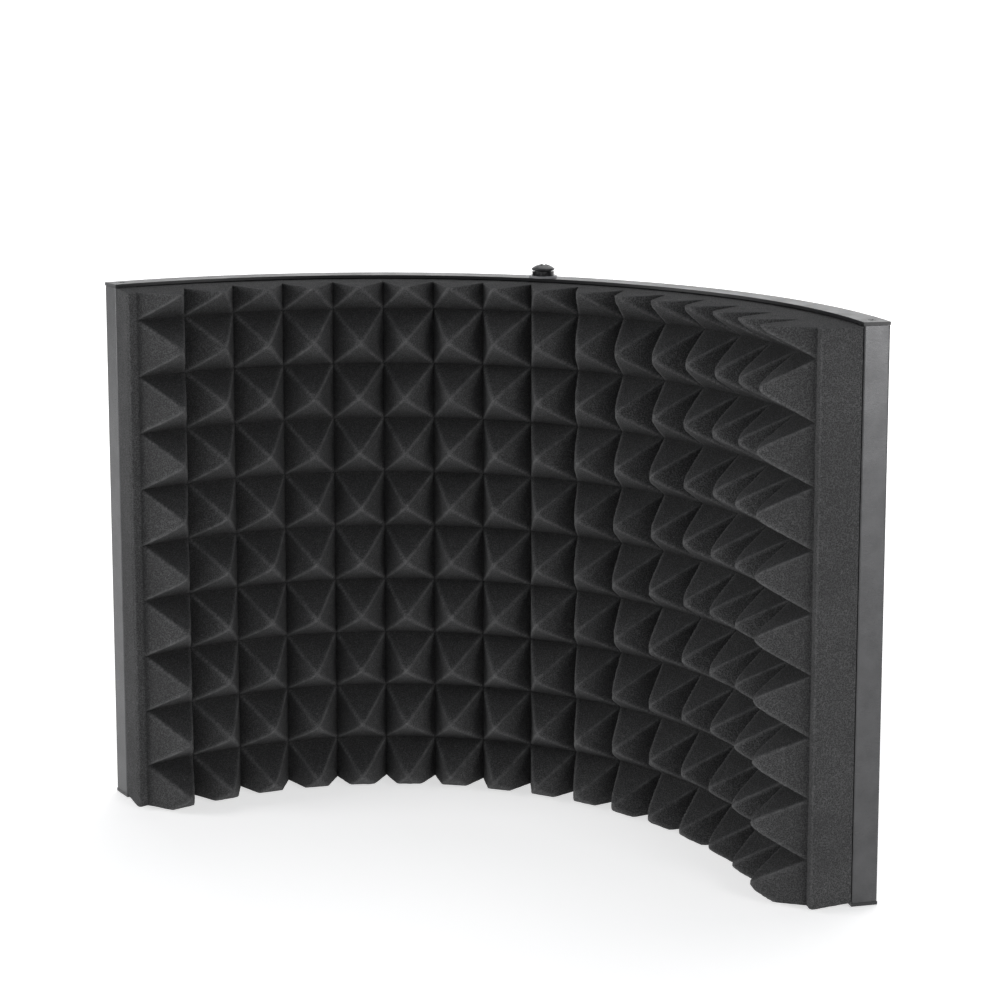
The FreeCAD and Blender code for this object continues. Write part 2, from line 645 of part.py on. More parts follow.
# ------------------------------------------------------------------ slotted bar
def make_bar():
    """The flat bar behind the panel, its spacers and its two screws."""
    half = "sizes.bar_width / 2"
    low = "(%s - sizes.bar_length / 2)" % MIDDLE_Z
    high = "(%s + sizes.bar_length / 2)" % MIDDLE_Z
    levels = bar_screw_levels()
    flat = block("bar_flat", ("-%s" % half, BAR_FRONT, low), (half, BAR_BACK, high))
    corner = number("min(sizes.bar_corner; sizes.bar_width / 2.1)")
    flat = rounded("bar_rounded", flat, corner,
                   lambda e: len(e.Vertexes) == 2 and abs(e.Vertexes[0].Y - e.Vertexes[1].Y) > 1e-6)
    slot_low = "(%s + sizes.slot_end_margin + sizes.slot_width / 2)" % low
    slot_high = "(%s - sizes.slot_end_margin - sizes.slot_width / 2)" % high
    front = BAR_FRONT + " - 1"
    deep = "sizes.bar_sheet + 2"
    tools = [block("bar_slot_middle", ("-sizes.slot_width / 2", front, slot_low),
                   ("sizes.slot_width / 2", BAR_BACK + " + 1", slot_high))]
    for index, level in enumerate((slot_low, slot_high)):
        tools.append(rod("bar_slot_end%d" % index, "sizes.slot_width / 2", deep, ("0", front, level), "Y"))
    for index, level in enumerate(levels):
        tools.append(rod("bar_screw_hole%d" % index, "sizes.bar_screw_radius + sizes.thread_gap", deep,
                         ("0", front, level), "Y"))
    finish_node(cut("slotted_bar", flat, *tools), "slotted_bar")
    bore = "sizes.bar_screw_radius + sizes.thread_gap"
    screws = []
    for word, level in zip(("lower", "upper"), levels):
        finish_node(ring("bar_spacer_" + word, "sizes.spacer_radius", bore,
                         "sizes.bar_standoff - sizes.joint_gap",
                         ("0", "%s + sizes.joint_gap" % PANEL_OUTER, level), "Y"), "bar_spacer_" + word)
        head = rod("bar_screw_head_" + word, "sizes.bar_screw_head_radius", "sizes.bar_screw_head_height",
                   ("0", BAR_BACK, level), "Y")
        rear = number(BAR_BACK + " + sizes.bar_screw_head_height")
        dome = number("min(sizes.bar_screw_dome; sizes.bar_screw_head_height * 0.9)")
        head = rounded("bar_screw_dome_" + word, head, dome,
                       lambda e, rear=rear: len(e.Vertexes) == 1 and abs(e.Vertexes[0].Y - rear) < 1e-6)
        shank = rod("bar_screw_shank_" + word, "sizes.bar_screw_radius",
                    "%s - %s - sizes.screw_end_gap" % (BAR_BACK, POST_FRONT),
                    ("0", POST_FRONT + " + sizes.screw_end_gap", level), "Y")
        socket = doc.addObject("Part::Prism", "bar_screw_socket_" + word)
        socket.Polygon = 6
        socket.Placement = Placement(Vector(), ALONG["Y"])
        bind(socket, {"Circumradius": "sizes.bar_screw_socket_radius", "Height": "sizes.bar_screw_head_height",
                      "Placement.Base.y": BAR_BACK + " + sizes.bar_screw_head_height - sizes.bar_screw_socket_depth",
                      "Placement.Base.z": level})
        screws.append(cut("bar_screw_" + word, join("bar_screw_whole_" + word, head, shank), socket))
    finish_node(group("bar_screws", screws), "bar_screws")


# ----------------------------------------------------------- carriage and clamp
def make_carriage():
    """The sliding plate: side lips run on the bar, and a tongue at the back takes the tilt bolt."""
    half = "sizes.carriage_width / 2"
    low = "(%s - sizes.carriage_height / 2)" % MIDDLE_Z
    high = "(%s + sizes.carriage_height / 2)" % MIDDLE_Z
    whole = block("carriage_whole", ("-" + half, BAR_FRONT + " - sizes.carriage_lip", low), (half, PLATE_BACK, high))
    channel = block("carriage_channel", ("-(sizes.bar_width / 2 + sizes.slide_gap)", BAR_FRONT + " - 2", low + " - 1"),
                    ("sizes.bar_width / 2 + sizes.slide_gap", PLATE_FRONT, high + " + 1"))
    plate = cut("carriage_plate", whole, channel)
    edge = min(number("sizes.carriage_edge"), 0.4 * number("sizes.carriage_plate"))
    rear = number(PLATE_BACK)
    plate = rounded("carriage_rounded", plate, edge,
                    lambda e: len(e.Vertexes) == 2 and all(abs(v.Y - rear) < 1e-6 for v in e.Vertexes))
    thick = "sizes.tongue_width / 2"
    web = block("tongue_web", ("-" + thick, PLATE_BACK + " - 1", PIVOT_Z + " - sizes.ear_radius"),
                (thick, PIVOT_Y, PIVOT_Z + " + sizes.ear_radius"))
    nose = rod("tongue_nose", "sizes.ear_radius", "sizes.tongue_width", ("-" + thick, PIVOT_Y, PIVOT_Z), "X")
    pivot = rod("tongue_bore", "sizes.bolt_radius + sizes.bolt_gap", "sizes.tongue_width + 2",
                ("-%s - 1" % thick, PIVOT_Y, PIVOT_Z), "X")
    bolt = rod("carriage_bolt_hole", "sizes.bolt_radius + sizes.bolt_gap", "sizes.carriage_plate + 2",
               ("0", PLATE_FRONT + " - 1", CLAMP_Z), "Y")
    finish_node(cut("carriage", join("carriage_solid", plate, web, nose), pivot, bolt), "carriage")


def lobed_knob(label, start, axis, inner):
    """A round knob with finger hollows and a bore for its threaded insert."""
    solid = rod(label + "_solid", "sizes.knob_radius", "sizes.knob_length", start, axis)
    doc.recompute()
    soft = number("min(sizes.knob_rounding; sizes.knob_length / 4)")
    solid = rounded(label + "_soft", solid, soft, lambda e: len(e.Vertexes) == 1)
    tools = [rod(label + "_bore", inner, "sizes.knob_length + 2",
                 shifted(start, axis, "-1"), axis)]
    lobes = int(number("sizes.knob_lobes"))
    for index in range(lobes):
        turn = "(360 / %d * (%d + 0.5)) * 1deg" % (lobes, index)
        reach = "sizes.knob_hollow_reach"
        sideways = ("%s * cos(%s)" % (reach, turn), "%s * sin(%s)" % (reach, turn))
        spot = list(shifted(start, axis, "-1"))
        for place, offset in zip([i for i, word in enumerate("XYZ") if word != axis], sideways):
            spot[place] = "%s + %s" % (spot[place], offset)
        tools.append(rod("%s_hollow%d" % (label, index), "sizes.knob_lobe_radius", "sizes.knob_length + 2",
                         spot, axis))
    return finish_node(cut(label, solid, *tools), label)


def shifted(start, axis, distance):
    spot = list(start)
    place = "XYZ".index(axis)
    spot[place] = "%s + %s" % (spot[place], distance)
    return spot


def make_clamp():
    """The bolt through the slot, its washer and the knob that locks the carriage."""
    half = "sizes.clamp_head / 2"
    head_back = BAR_FRONT + " - sizes.slide_gap"
    head = block("clamp_head", ("-" + half, head_back + " - sizes.clamp_head_height", CLAMP_Z + " - " + half),
                 (half, head_back, CLAMP_Z + " + " + half))
    knob_start = "(%s + sizes.washer_height + sizes.slide_gap)" % PLATE_BACK
    shank = rod("clamp_shank", "sizes.bolt_radius", "%s + sizes.knob_length + sizes.bolt_tip - (%s)" % (knob_start, head_back),
                ("0", head_back, CLAMP_Z), "Y")
    finish_node(join("clamp_bolt", head, shank), "clamp_bolt")
    finish_node(ring("clamp_washer", "sizes.washer_radius", "sizes.bolt_radius + sizes.bolt_gap",
                     "sizes.washer_height", ("0", PLATE_BACK, CLAMP_Z), "Y"), "clamp_washer")
    start = ("0", knob_start, CLAMP_Z)
    lobed_knob("clamp_knob", start, "Y", size("insert_radius"))
    finish_node(ring("clamp_knob_insert", "sizes.insert_radius", "sizes.bolt_radius + sizes.bolt_gap",
                     "sizes.knob_length", start, "Y"), "clamp_knob_insert")


# ------------------------------------------------------------ tilt joint and arm
def make_arm():
    """The fork, the stand socket behind it, and the socket's threaded sleeve."""
    ears = []
    bores = []
    back = "(%s + sizes.ear_radius + sizes.fork_gap)" % PIVOT_Y
    for index, (low, high) in enumerate((("-" + EAR_OUTER, "-" + EAR_INNER), (EAR_INNER, EAR_OUTER))):
        ears.append(rod("ear_round%d" % index, "sizes.ear_radius", "(%s) - (%s)" % (high, low),
                        (low, PIVOT_Y, PIVOT_Z), "X"))
        ears.append(block("ear_web%d" % index, (low, PIVOT_Y, PIVOT_Z + " - sizes.ear_radius"),
                          (high, back + " + 1", PIVOT_Z + " + sizes.ear_radius")))
    bores.append(rod("ear_bore", "sizes.bolt_radius + sizes.bolt_gap", "2 * %s + 2" % EAR_OUTER,
                     ("-%s - 1" % EAR_OUTER, PIVOT_Y, PIVOT_Z), "X"))
    bridge = block("arm_bridge", ("-" + EAR_OUTER, back, PIVOT_Z + " - sizes.ear_radius"),
                   (EAR_OUTER, SOCKET_Y, PIVOT_Z + " + sizes.ear_radius"))
    socket = rod("socket_solid", "sizes.socket_radius", "sizes.socket_height", ("0", SOCKET_Y, SOCKET_LOW), "Z")
    bores.append(rod("socket_bore", "sizes.thread_sleeve_radius", "sizes.stand_thread_length + 1",
                     ("0", SOCKET_Y, SOCKET_LOW + " - 1"), "Z"))
    finish_node(cut("tilt_arm", join("arm_solid", *ears, bridge, socket), *bores), "tilt_arm")
    finish_node(ring("thread_sleeve", "sizes.thread_sleeve_radius", "sizes.stand_thread_radius",
                     "sizes.stand_thread_length", ("0", SOCKET_Y, SOCKET_LOW), "Z"), "thread_sleeve")


def make_tilt_bolt():
    """The hex bolt through the fork, its washers and the knob that locks the tilt."""
    head_height = "sizes.hex_head_height"
    hexagon = doc.addObject("Part::Prism", "tilt_bolt_head")
    hexagon.Polygon = 6
    hexagon.Placement = Placement(Vector(), ALONG["X"])
    bind(hexagon, {"Circumradius": "sizes.hex_head_radius", "Height": head_height,
                   "Placement.Base.x": "-(%s + %s + sizes.joint_gap)" % (EAR_OUTER, head_height),
                   "Placement.Base.y": PIVOT_Y, "Placement.Base.z": PIVOT_Z})
    knob_start = "(%s + sizes.washer_height + sizes.slide_gap)" % EAR_OUTER
    shank = rod("tilt_bolt_shank", "sizes.bolt_radius",
                "%s + sizes.joint_gap + %s + sizes.knob_length + sizes.bolt_tip" % (EAR_OUTER, knob_start),
                ("-(%s + sizes.joint_gap)" % EAR_OUTER, PIVOT_Y, PIVOT_Z), "X")
    finish_node(join("tilt_bolt", hexagon, shank), "tilt_bolt")
    bore = "sizes.bolt_radius + sizes.bolt_gap"
    finish_node(ring("tilt_washer", "sizes.washer_radius", bore, "sizes.washer_height",
                     (EAR_OUTER, PIVOT_Y, PIVOT_Z), "X"), "tilt_washer")
    pads = []
    for word, start in (("left", "-(sizes.tongue_width / 2 + sizes.joint_gap + sizes.friction_washer)"),
                        ("right", "(sizes.tongue_width / 2 + sizes.joint_gap)")):
        pads.append(ring("friction_washer_" + word, "sizes.friction_washer_radius", bore, "sizes.friction_washer",
                         (start, PIVOT_Y, PIVOT_Z), "X"))
    finish_node(group("friction_washers", pads), "friction_washers")
    start = (knob_start, PIVOT_Y, PIVOT_Z)
    lobed_knob("tilt_knob", start, "X", size("insert_radius"))
    finish_node(ring("tilt_knob_insert", "sizes.insert_radius", bore, "sizes.knob_length", start, "X"),
                "tilt_knob_insert")


# ---------------------------------------------------------------- build and write
for word, is_top in (("top", True), ("bottom", False)):
    make_rim(word + "_rim", is_top)
    make_rim_screws(word + "_rim_screws", is_top)
    make_rivets(word + "_rivets", is_top)
    for hand, end_side in (("left", -1), ("right", 1)):
        make_corner_block("corner_block_%s_%s" % (word, hand), end_side, is_top)
for hand, end_side in (("left", -1), ("right", 1)):
    make_rail("rail_" + hand, end_side)
make_panel()
make_foam()
make_post()
make_cap_fastener()
make_bar()
make_carriage()
make_clamp()
make_arm()
make_tilt_bolt()
doc.recompute()

for obj in doc.Objects:
    if "Invalid" in obj.State or "Error" in obj.State:
        raise RuntimeError("%s did not recompute: %s" % (obj.Name, obj.getStatusString()))
os.makedirs("parts", exist_ok=True)
for node in nodes:
    if node.Shape.isNull() or not node.Shape.isValid() or node.Shape.Volume <= 0:
        raise RuntimeError("%s has no valid shape" % node.Label)
for node in nodes:
    node.Shape.exportStep("parts/%s.step" % node.Label)
    print("%-26s %3d solid %10.0f mm3" % (node.Label, len(node.Shape.Solids), node.Shape.Volume))
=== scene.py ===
import math

import bpy
import numpy as np
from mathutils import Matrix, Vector, noise


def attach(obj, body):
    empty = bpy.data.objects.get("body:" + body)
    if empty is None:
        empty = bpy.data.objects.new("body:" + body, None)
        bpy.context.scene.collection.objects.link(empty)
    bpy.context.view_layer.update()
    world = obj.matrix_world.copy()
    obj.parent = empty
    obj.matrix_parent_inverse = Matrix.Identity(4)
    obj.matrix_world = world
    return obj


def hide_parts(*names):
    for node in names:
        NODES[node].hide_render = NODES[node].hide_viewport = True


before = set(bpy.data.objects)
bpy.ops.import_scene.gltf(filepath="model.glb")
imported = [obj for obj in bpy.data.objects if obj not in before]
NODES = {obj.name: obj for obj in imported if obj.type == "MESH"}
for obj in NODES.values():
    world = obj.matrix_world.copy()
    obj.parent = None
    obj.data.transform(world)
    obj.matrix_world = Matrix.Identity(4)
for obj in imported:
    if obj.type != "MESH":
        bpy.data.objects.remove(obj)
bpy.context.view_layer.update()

# ------------------------------------------------------------------ shared sizes
INNER = 0.271                     # inner radius of the frame
DEPTH = 0.015                     # depth of the frame's band
OUTER = INNER + DEPTH
ARC_Y = -(INNER + DEPTH / 2)      # the arc's centre, behind the origin
HALF = math.radians(56.5)         # half of the arc
HEIGHT = 0.320
RIM = 0.0018
PANEL_OUTER = OUTER - RIM - 0.0002
PANEL_INNER = PANEL_OUTER - 0.001
MIDDLE_Z = HEIGHT / 2


# -------------------------------------------------------------- material helpers
class Mat:
    """A Principled material with a few shorthand ways to add procedural detail."""

    def __init__(self, name, base, rough, metal=0.0):
        self.mat = bpy.data.materials.new(name)
        self.mat.use_nodes = True
        self.tree = self.mat.node_tree
        self.nodes = self.tree.nodes
        self.shader = self.nodes["Principled BSDF"]
        self.shader.inputs["Base Color"].default_value = (*base, 1)
        self.shader.inputs["Roughness"].default_value = rough
        self.shader.inputs["Metallic"].default_value = metal
        self.mat.diffuse_color = (*base, 1)
        self.coords = self.nodes.new("ShaderNodeTexCoord").outputs["Object"]
        self.last_bump = None

    def set(self, socket, value):
        self.shader.inputs[socket].default_value = value
        return self

    def link(self, a, b):
        self.tree.links.new(a, b)

    def stretched(self, scale):
        node = self.nodes.new("ShaderNodeMapping")
        node.inputs["Scale"].default_value = scale
        self.link(self.coords, node.inputs["Vector"])
        return node.outputs["Vector"]

    def noise(self, scale, detail=3.0, rough=0.55, stretch=None):
        node = self.nodes.new("ShaderNodeTexNoise")
        node.inputs["Scale"].default_value = scale
        node.inputs["Detail"].default_value = detail
        node.inputs["Roughness"].default_value = rough
        self.link(self.stretched(stretch) if stretch else self.coords, node.inputs["Vector"])
        return node.outputs["Fac"]

    def cells(self, scale, feature="F1"):
        node = self.nodes.new("ShaderNodeTexVoronoi")
        node.feature = feature
        node.inputs["Scale"].default_value = scale
        self.link(self.coords, node.inputs["Vector"])
        return node.outputs["Distance"]

    def span(self, value, low, high, to_low, to_high):
        node = self.nodes.new("ShaderNodeMapRange")
        for socket, number in (("From Min", low), ("From Max", high),
                               ("To Min", to_low), ("To Max", to_high)):
            node.inputs[socket].default_value = number
        self.link(value, node.inputs["Value"])
        return node.outputs["Result"]

    def blend(self, factor, first, second, kind="MIX"):
        node = self.nodes.new("ShaderNodeMix")
        node.data_type = "RGBA"
        node.blend_type = kind
        for socket, value in ((node.inputs[0], factor), (node.inputs[6], first), (node.inputs[7], second)):
            if isinstance(value, (int, float)):
                socket.default_value = value
            elif isinstance(value, tuple):
                socket.default_value = (*value, 1)
            else:
                self.link(value, socket)
        return node.outputs[2]

    def math(self, kind, a, b=None):
        node = self.nodes.new("ShaderNodeMath")
        node.operation = kind
        for socket, value in zip(node.inputs, (a, b)):
            if value is None:
                continue
            if isinstance(value, (int, float)):
                socket.default_value = value
            else:
                self.link(value, socket)
        return node.outputs[0]

    def color(self, value):
        self.link(value, self.shader.inputs["Base Color"])
        return self

    def roughness(self, value):
        self.link(value, self.shader.inputs["Roughness"])
        return self

    def bump(self, height, strength, distance):
        node = self.nodes.new("ShaderNodeBump")
        node.inputs["Strength"].default_value = strength
        node.inputs["Distance"].default_value = distance
        self.link(height, node.inputs["Height"])
        if self.last_bump:
            self.link(self.last_bump, node.inputs["Normal"])
        self.last_bump = node.outputs["Normal"]
        self.link(self.last_bump, self.shader.inputs["Normal"])
        return self


def paint(name, base, rough, peel=0.35, worn=(0.16, 0.16, 0.165)):
    """Powder-coated steel: fine orange peel, soft tone changes and a few rubbed spots."""
    m = Mat(name, base, rough)
    tone = m.blend(m.span(m.noise(9, 4), 0.35, 0.65, 0, 1), tuple(c * 0.86 for c in base),
                   tuple(c * 1.12 for c in base))
    dust = m.span(m.noise(240, 4, 0.7), 0.62, 0.76, 0, 0.22)
    rub = m.span(m.noise(34, 6, 0.72), 0.68, 0.80, 0, 0.10)
    m.color(m.blend(rub, m.blend(dust, tone, tuple(min(1, c * 1.9 + 0.01) for c in base)), worn))
    m.roughness(m.math("ADD", m.span(m.noise(60, 5, 0.6), 0.3, 0.7, rough - 0.05, rough + 0.07),
                       m.math("MULTIPLY", rub, 0.3)))
    m.bump(m.noise(1300, 2, 0.5), peel, 0.00008)
    return m


def bright_metal(name, base, rough, stretch=(1, 1, 60), grain=500.0):
    """Zinc, brass or aluminium: fine drawn grain and faint stains."""
    m = Mat(name, base, rough, 1.0)
    stain = m.span(m.noise(70, 5, 0.6), 0.35, 0.7, 0, 1)
    m.color(m.blend(stain, base, tuple(c * 0.8 for c in base)))
    lines = m.noise(grain, 3, 0.6, stretch)
    m.roughness(m.math("ADD", m.span(lines, 0.3, 0.7, rough - 0.06, rough + 0.08),
                       m.span(m.noise(45), 0.4, 0.7, 0, 0.06)))
    m.bump(lines, 0.25, 0.00004)
    return m


def moulded(name, base, rough):
    """Moulded nylon or hard plastic: a fine spark-eroded texture."""
    m = Mat(name, base, rough)
    m.color(m.blend(m.span(m.noise(40, 5), 0.35, 0.65, 0, 1), tuple(c * 0.85 for c in base),
                    tuple(c * 1.2 for c in base)))
    m.roughness(m.span(m.noise(300, 4, 0.6), 0.3, 0.7, rough - 0.06, rough + 0.08))
    m.bump(m.cells(1500), 0.3, 0.00006)
    return m


# ---------------------------------------------------------------------- materials
PLATE = paint("satin_black_coat", (0.020, 0.020, 0.021), 0.36, 0.25, (0.12, 0.12, 0.125))
RAIL = bright_metal("dark_anodised_aluminium", (0.092, 0.092, 0.094), 0.27, (1, 1, 30), 260)
PANEL = paint("panel_coat", (0.028, 0.028, 0.029), 0.42, 0.3)
STEEL = paint("black_steel", (0.024, 0.024, 0.025), 0.38, 0.3, (0.2, 0.2, 0.205))
BRACKET = paint("bracket_coat", (0.032, 0.032, 0.033), 0.46, 0.45, (0.2, 0.2, 0.205))
ZINC = bright_metal("zinc_steel", (0.62, 0.63, 0.64), 0.32)
ALUMINIUM = bright_metal("turned_aluminium", (0.72, 0.72, 0.73), 0.34, (1, 40, 1))
BRASS = bright_metal("brass", (0.72, 0.52, 0.24), 0.28, (1, 1, 40))
KNOB = moulded("knob_plastic", (0.020, 0.020, 0.021), 0.46)
NYLON = moulded("white_nylon", (0.55, 0.54, 0.50), 0.5)
CAP_WASHER = paint("cap_washer_coat", (0.34, 0.34, 0.35), 0.38, 0.2, (0.6, 0.6, 0.6))
CAP_COLLAR = Mat("cap_collar_gloss", (0.012, 0.012, 0.013), 0.12)
CAP_COLLAR.roughness(CAP_COLLAR.span(CAP_COLLAR.noise(500, 4), 0.3, 0.7, 0.09, 0.2))
CAP_COLLAR.color(CAP_COLLAR.blend(CAP_COLLAR.span(CAP_COLLAR.noise(90, 4), 0.4, 0.7, 0, 1),
                                  (0.010, 0.010, 0.011), (0.022, 0.022, 0.023)))
CAP_SCREW = paint("cap_screw_coat", (0.030, 0.030, 0.031), 0.30, 0.15)

FOAM = Mat("charcoal_foam", (0.05, 0.05, 0.051), 1.0)
FOAM.set("Specular IOR Level", 0.15)


def foam_look(m):
    """Open-cell polyurethane: dark pores between lighter strands, with a painted highlight along its cut
    ridges and painted shade in its valleys.
    """
    patch = m.span(m.noise(26, 4, 0.6), 0.35, 0.68, 0, 1)
    body = m.blend(patch, (0.080, 0.080, 0.081), (0.108, 0.108, 0.109))
    pores = m.cells(1350)
    strands = m.span(pores, 0.12, 0.72, 0, 1)
    fibre = m.noise(2100, 3, 0.7)
    tint = m.blend(m.math("MULTIPLY", strands, m.span(fibre, 0.3, 0.7, 0.5, 1.0)),
                   (0.026, 0.026, 0.0265), body)
    fleck = m.span(m.noise(900, 4, 0.75), 0.58, 0.72, 0, 0.60)
    tint = m.blend(fleck, tint, (0.20, 0.20, 0.202))
    # painted highlight: the ridges, tips and cut edges are lightened towards pale grey, in uneven patches
    ridge_highlight = m.nodes.new("ShaderNodeAttribute")
    ridge_highlight.attribute_name = "ridge_highlight"
    painted_ridge_highlight = m.math("MULTIPLY", ridge_highlight.outputs["Fac"], m.span(m.noise(160, 4, 0.7), 0.35, 0.65, 0.10, 0.34))
    # painted shade: the colour darkens towards the valleys and stays lighter at the tips
    peak = m.nodes.new("ShaderNodeAttribute")
    peak.attribute_name = "peak"
    deep = m.blend(m.span(peak.outputs["Fac"], 0.0, 0.7, 0.34, 0.0), tint, (0.012, 0.012, 0.012))
    m.color(m.blend(painted_ridge_highlight, deep, (0.24, 0.24, 0.242)))
    m.bump(m.noise(330, 3, 0.6), 0.25, 0.0006)
    m.bump(strands, 0.7, 0.0004)
    m.bump(fibre, 0.4, 0.00025)


foam_look(FOAM)

FINISH = {
    PLATE: ("top_rim", "bottom_rim"),
    RAIL: ("rail_left", "rail_right"),
    STEEL: ("top_rim_screws", "bottom_rim_screws", "centre_post", "top_rivets", "bottom_rivets", "bar_screws",
            "slotted_bar", "corner_block_top_left", "corner_block_top_right", "corner_block_bottom_left",
            "corner_block_bottom_right"),
    ZINC: ("clamp_bolt", "clamp_washer", "tilt_bolt", "tilt_washer"),
    ALUMINIUM: ("bar_spacer_lower", "bar_spacer_upper"),
    BRASS: ("clamp_knob_insert", "tilt_knob_insert", "thread_sleeve"),
    KNOB: ("clamp_knob", "tilt_knob"),
    NYLON: ("friction_washers",),
    BRACKET: ("carriage", "tilt_arm"),
    CAP_WASHER: ("cap_washer",),
    CAP_COLLAR: ("cap_lock_washer",),
    CAP_SCREW: ("cap_screw",),
}
for look, names in FINISH.items():
    for node in names:
        mesh = NODES[node].data
        mesh.materials.clear()
        mesh.materials.append(look.mat)

# ------------------------------------------------------------------ softened edges
for node, width in (("top_rim", 0.0004), ("bottom_rim", 0.0004), ("slotted_bar", 0.0004),
                    ("carriage", 0.0005), ("tilt_arm", 0.0006), ("rail_left", 0.0003),
                    ("rail_right", 0.0003), ("clamp_washer", 0.0002), ("tilt_washer", 0.0002),
                    ("cap_washer", 0.0002), ("cap_lock_washer", 0.0010)):
    soft = NODES[node].modifiers.new("edge", "BEVEL")
    soft.width = width
    soft.segments = 2
    soft.limit_method = "ANGLE"
    soft.angle_limit = math.radians(50)
    soft.harden_normals = True


# ------------------------------------------------------------------- mesh helpers
def make_mesh(name, points, quads, material, sharp=None):
    mesh = bpy.data.meshes.new(name)
    points = np.asarray(points, np.float32)
    quads = np.asarray(quads, np.int32)
    mesh.vertices.add(len(points))
    mesh.vertices.foreach_set("co", points.ravel())
    mesh.loops.add(quads.size)
    mesh.loops.foreach_set("vertex_index", quads.ravel())
    mesh.polygons.add(len(quads))
    mesh.polygons.foreach_set("loop_start", np.arange(0, quads.size, quads.shape[1], dtype=np.int32))
    mesh.update(calc_edges=True)
    mesh.validate()
    mesh.shade_smooth()
    if sharp is not None:
        mesh.set_sharp_from_angle(angle=math.radians(sharp))
    mesh.materials.append(material.mat)
    obj = bpy.data.objects.new(name, mesh)
    bpy.context.scene.collection.objects.link(obj)
    return obj


# ------------------------------------------------------- crowned screw on the rim
CAP_SEAT = 0.0040                 # the washer and the collar under the head


def make_cap():
    """The cap screw's head: a low crown with a rolled lip, a cross recess and a short neck below."""
    profile = [(7.15, 0.9), (7.2, 1.25), (7.05, 1.6), (6.6, 1.95), (5.9, 2.4), (5.1, 2.85), (4.4, 3.2),
               (3.9, 3.42), (3.4, 3.6), (2.9, 3.75), (2.4, 3.88), (1.9, 3.98), (1.4, 4.06), (0.9, 4.11),
               (0.4, 4.13), (0.02, 4.14)]
    below = [(5.2, 0.0), (5.3, 0.5), (6.6, 0.62), (6.95, 0.72)]
    steps = 96
    points, quads = [], []
    for r, z in below + profile:
        for k in range(steps):
            aim = 2 * math.pi * k / steps
            x, y = r * math.cos(aim), r * math.sin(aim)
            arm, reach = min(abs(x), abs(y)), max(abs(x), abs(y))
            sunk = np.clip((1.0 - arm) / 0.35, 0, 1) * np.clip((3.9 - reach) / 0.5, 0, 1) if z > 1.5 else 0
            points.append((x / 1000, y / 1000, (z - 1.5 * sunk) / 1000))
    rings = len(below + profile)
    for i in range(rings - 1):
        for k in range(steps):
            m = (k + 1) % steps
            quads.append((i * steps + k, i * steps + m, (i + 1) * steps + m, (i + 1) * steps + k))
    obj = make_mesh("cap_screw_head", points, quads, CAP_SCREW, 40)
    obj.location = (0, 0, HEIGHT + CAP_SEAT)
    return obj


cap = make_cap()
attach(cap, "shield")
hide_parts("cap_screw")


# -------------------------------------------------------------------- foam sheet
FOAM_BASE = 0.0235
TIP = 0.0320                      # before each tip is blunted, which takes about a seventh off
PITCH = 0.0342
FIRST_VALLEY = 0.0275
END_MARGIN = 0.0064
FOAM_GAP = 0.0004
RIVET_TAIL = 0.0011
STEP_COUNT = 26                   # mesh steps along each pyramid


def foam_plan():
    """The foam's own arc lies on the panel at its middle and on the rails at its ends."""
    middle = PANEL_INNER - RIVET_TAIL - FOAM_GAP
    rail = INNER - FOAM_GAP
    edge = HALF - math.asin(0.0142 / OUTER)
    centre = (middle ** 2 - rail ** 2) / (2 * (middle - rail * math.cos(edge)))
    back = middle - centre
    return centre, back, HALF + math.asin(centre * math.sin(HALF) / back)


def lumps(points, scale, seed):
    """Smooth noise in the range -1 to 1 at each point."""
    shift = Vector((seed * 7.31, seed * 3.17, seed * 5.73))
    return np.array([noise.noise(Vector(p) * scale + shift) for p in points])


